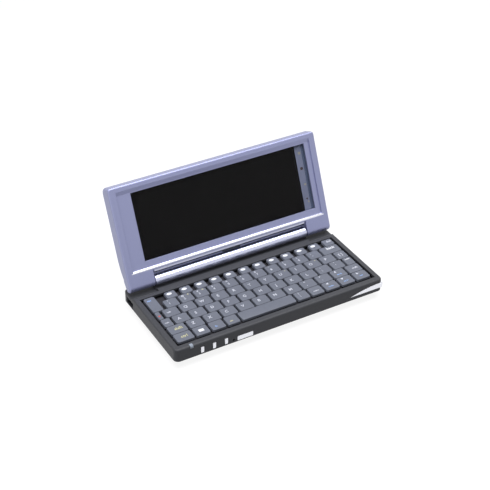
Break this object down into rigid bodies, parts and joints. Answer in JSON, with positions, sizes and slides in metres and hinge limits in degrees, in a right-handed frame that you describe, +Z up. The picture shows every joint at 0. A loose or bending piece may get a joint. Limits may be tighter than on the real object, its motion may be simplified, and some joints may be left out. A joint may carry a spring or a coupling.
{
  "type": "handheld computer",
  "caption": "Clamshell handheld computer: wide touch screen in a lavender lid, hinged to a dark base with a full small keyboard, voice keys and a stylus.",
  "frame": {"origin": "middle of the four feet, in the plane they stand on", "axes": "+X to the user's right along the hinge, +Y away from the user, +Z up; the lid stands open at 113.4 degrees"},
  "size_m": [0.1906, 0.1229, 0.0998],
  "materials": {
    "case_dark": "finely textured moulded plastic",
    "lid_paint": "satin lavender-silver paint on plastic",
    "key_plastic": "matt moulded plastic",
    "spine_silver": "satin silver",
    "silver_trim": "silver-painted plastic",
    "touch_glass": "hard-coated glass",
    "screen_black": "unlit screen",
    "strip_slate": "printed film",
    "socket_black": "black moulded plastic",
    "infrared_plastic": "dark translucent plastic",
    "foot_rubber": "matt rubber",
    "dome_rubber": "silicone sheet",
    "screw_steel": "zinc plated",
    "cell_steel": "nickel plated",
    "sheet_metal": "plain sheet",
    "circuit_board": "solder-masked board",
    "battery_plastic": "moulded plastic",
    "light_lens": "clear lens",
    "cable_film": "polyimide film"
  },
  "bodies": {
    "base": {"base_lower_shell": "case_dark", "keyboard_deck": "case_dark", "keyboard_plate": "sheet_metal", "key_dome_sheet": "dome_rubber", "main_board": "circuit_board", "card_cage": "sheet_metal", "coin_cell": "cell_steel", "phone_jack": "socket_black", "serial_connector": "socket_black", "headphone_jack": "socket_black", "power_jack": "socket_black", "infrared_window": "infrared_plastic", "rubber_feet": "foot_rubber", "base_screws": "screw_steel", "hinge_spine": "spine_silver", "hinge_pins": "screw_steel", "status_light": "light_lens", "badge_plate": "silver_trim", "speaker": "socket_black", "microphone": "socket_black"},
    "lid": {"lid_cover": "lid_paint", "lid_bezel": "lid_paint", "display_panel": "screen_black", "touch_panel": "touch_glass", "hot_key_strip": "strip_slate", "backlight_board": "circuit_board", "display_cable": "cable_film"},
    "battery_pack": {"battery_pack": "battery_plastic"},
    "battery_latch": {"battery_latch": "case_dark"},
    "backup_battery_cover": {"backup_battery_cover": "case_dark"},
    "card_eject_button": {"card_eject_button": "case_dark"},
    "stylus": {"stylus": "silver_trim"},
    "record_key": {"record_key": "silver_trim"},
    "play_key": {"play_key": "silver_trim"},
    "stop_key": {"stop_key": "silver_trim"},
    "control_key": {"control_key": "key_plastic"},
    "start_key": {"start_key": "key_plastic"},
    "fn_key": {"fn_key": "key_plastic"},
    "alt_key": {"alt_key": "key_plastic"},
    "space_bar": {"space_bar": "key_plastic"},
    "slash_key": {"slash_key": "key_plastic"},
    "menu_key": {"menu_key": "key_plastic"},
    "left_arrow_key": {"left_arrow_key": "key_plastic"},
    "down_arrow_key": {"down_arrow_key": "key_plastic"},
    "right_arrow_key": {"right_arrow_key": "key_plastic"},
    "left_shift_key": {"left_shift_key": "key_plastic"},
    "lower_letter_keys": {"lower_letter_keys": "key_plastic"},
    "up_arrow_key": {"up_arrow_key": "key_plastic"},
    "right_shift_key": {"right_shift_key": "key_plastic"},
    "caps_key": {"caps_key": "key_plastic"},
    "home_letter_keys": {"home_letter_keys": "key_plastic"},
    "enter_key": {"enter_key": "key_plastic"},
    "power_key": {"power_key": "key_plastic"},
    "tab_key": {"tab_key": "key_plastic"},
    "upper_letter_keys": {"upper_letter_keys": "key_plastic"},
    "number_keys": {"number_keys": "key_plastic"},
    "backspace_key": {"backspace_key": "key_plastic"},
    "function_keys": {"function_keys": "key_plastic"},
    "delete_key": {"delete_key": "key_plastic"},
    "escape_key": {"escape_key": "key_plastic"}
  },
  "joints": [
    {"name": "lid_hinge", "type": "hinge", "parent": "base", "child": "lid", "pos_m": [0, 0.03538, 0.02324], "axis": [-1, 0, 0], "range_deg": [-113.4, 36.6]},
    {"name": "stylus_slide", "type": "slide", "parent": "base", "child": "stylus", "axis": [1, 0, 0], "range_m": [0, 0.105]},
    {"name": "battery_slide", "type": "slide", "parent": "base", "child": "battery_pack", "axis": [0, 0, -1], "range_m": [0, 0.02]},
    {"name": "battery_latch_slide", "type": "slide", "parent": "base", "child": "battery_latch", "axis": [1, 0, 0], "range_m": [0, 0.004]},
    {"name": "backup_cover_turn", "type": "hinge", "parent": "base", "child": "backup_battery_cover", "pos_m": [0.044, -0.006, 0.001], "axis": [0, 0, 1], "range_deg": [0, 45]},
    {"name": "card_eject_push", "type": "slide", "parent": "base", "child": "card_eject_button", "axis": [-1, 0, 0], "range_m": [0, 0.0015], "stiffness_N_per_m": 600},
    {"name": "record_key_press", "type": "slide", "parent": "base", "child": "record_key", "axis": [0, 1, 0], "range_m": [0, 0.0006], "stiffness_N_per_m": 1500},
    {"name": "play_key_press", "type": "slide", "parent": "base", "child": "play_key", "axis": [0, 1, 0], "range_m": [0, 0.0006], "stiffness_N_per_m": 1500},
    {"name": "stop_key_press", "type": "slide", "parent": "base", "child": "stop_key", "axis": [0, 1, 0], "range_m": [0, 0.0006], "stiffness_N_per_m": 1500},
    {"name": "control_key_press", "type": "slide", "parent": "base", "child": "control_key", "axis": [0, 0, -1], "range_m": [0, 0.0012], "stiffness_N_per_m": 450},
    {"name": "start_key_press", "type": "slide", "parent": "base", "child": "start_key", "axis": [0, 0, -1], "range_m": [0, 0.0012], "stiffness_N_per_m": 450},
    {"name": "fn_key_press", "type": "slide", "parent": "base", "child": "fn_key", "axis": [0, 0, -1], "range_m": [0, 0.0012], "stiffness_N_per_m": 450},
    {"name": "alt_key_press", "type": "slide", "parent": "base", "child": "alt_key", "axis": [0, 0, -1], "range_m": [0, 0.0012], "stiffness_N_per_m": 450},
    {"name": "space_bar_press", "type": "slide", "parent": "base", "child": "space_bar", "axis": [0, 0, -1], "range_m": [0, 0.0012], "stiffness_N_per_m": 450},
    {"name": "slash_key_press", "type": "slide", "parent": "base", "child": "slash_key", "axis": [0, 0, -1], "range_m": [0, 0.0012], "stiffness_N_per_m": 450},
    {"name": "menu_key_press", "type": "slide", "parent": "base", "child": "menu_key", "axis": [0, 0, -1], "range_m": [0, 0.0012], "stiffness_N_per_m": 450},
    {"name": "left_arrow_key_press", "type": "slide", "parent": "base", "child": "left_arrow_key", "axis": [0, 0, -1], "range_m": [0, 0.0012], "stiffness_N_per_m": 450},
    {"name": "down_arrow_key_press", "type": "slide", "parent": "base", "child": "down_arrow_key", "axis": [0, 0, -1], "range_m": [0, 0.0012], "stiffness_N_per_m": 450},
    {"name": "right_arrow_key_press", "type": "slide", "parent": "base", "child": "right_arrow_key", "axis": [0, 0, -1], "range_m": [0, 0.0012], "stiffness_N_per_m": 450},
    {"name": "left_shift_key_press", "type": "slide", "parent": "base", "child": "left_shift_key", "axis": [0, 0, -1], "range_m": [0, 0.0012], "stiffness_N_per_m": 450},
    {"name": "lower_letter_keys_press", "type": "slide", "parent": "base", "child": "lower_letter_keys", "axis": [0, 0, -1], "range_m": [0, 0.0012], "stiffness_N_per_m": 450},
    {"name": "up_arrow_key_press", "type": "slide", "parent": "base", "child": "up_arrow_key", "axis": [0, 0, -1], "range_m": [0, 0.0012], "stiffness_N_per_m": 450},
    {"name": "right_shift_key_press", "type": "slide", "parent": "base", "child": "right_shift_key", "axis": [0, 0, -1], "range_m": [0, 0.0012], "stiffness_N_per_m": 450},
    {"name": "caps_key_press", "type": "slide", "parent": "base", "child": "caps_key", "axis": [0, 0, -1], "range_m": [0, 0.0012], "stiffness_N_per_m": 450},
    {"name": "home_letter_keys_press", "type": "slide", "parent": "base", "child": "home_letter_keys", "axis": [0, 0, -1], "range_m": [0, 0.0012], "stiffness_N_per_m": 450},
    {"name": "enter_key_press", "type": "slide", "parent": "base", "child": "enter_key", "axis": [0, 0, -1], "range_m": [0, 0.0012], "stiffness_N_per_m": 450},
    {"name": "power_key_press", "type": "slide", "parent": "base", "child": "power_key", "axis": [0, 0, -1], "range_m": [0, 0.0012], "stiffness_N_per_m": 450},
    {"name": "tab_key_press", "type": "slide", "parent": "base", "child": "tab_key", "axis": [0, 0, -1], "range_m": [0, 0.0012], "stiffness_N_per_m": 450},
    {"name": "upper_letter_keys_press", "type": "slide", "parent": "base", "child": "upper_letter_keys", "axis": [0, 0, -1], "range_m": [0, 0.0012], "stiffness_N_per_m": 450},
    {"name": "number_keys_press", "type": "slide", "parent": "base", "child": "number_keys", "axis": [0, 0, -1], "range_m": [0, 0.0012], "stiffness_N_per_m": 450},
    {"name": "backspace_key_press", "type": "slide", "parent": "base", "child": "backspace_key", "axis": [0, 0, -1], "range_m": [0, 0.0012], "stiffness_N_per_m": 450},
    {"name": "function_keys_press", "type": "slide", "parent": "base", "child": "function_keys", "axis": [0, 0, -1], "range_m": [0, 0.0012], "stiffness_N_per_m": 450},
    {"name": "delete_key_press", "type": "slide", "parent": "base", "child": "delete_key", "axis": [0, 0, -1], "range_m": [0, 0.0012], "stiffness_N_per_m": 450},
    {"name": "escape_key_press", "type": "slide", "parent": "base", "child": "escape_key", "axis": [0, 0, -1], "range_m": [0, 0.0012], "stiffness_N_per_m": 450}
  ]
}
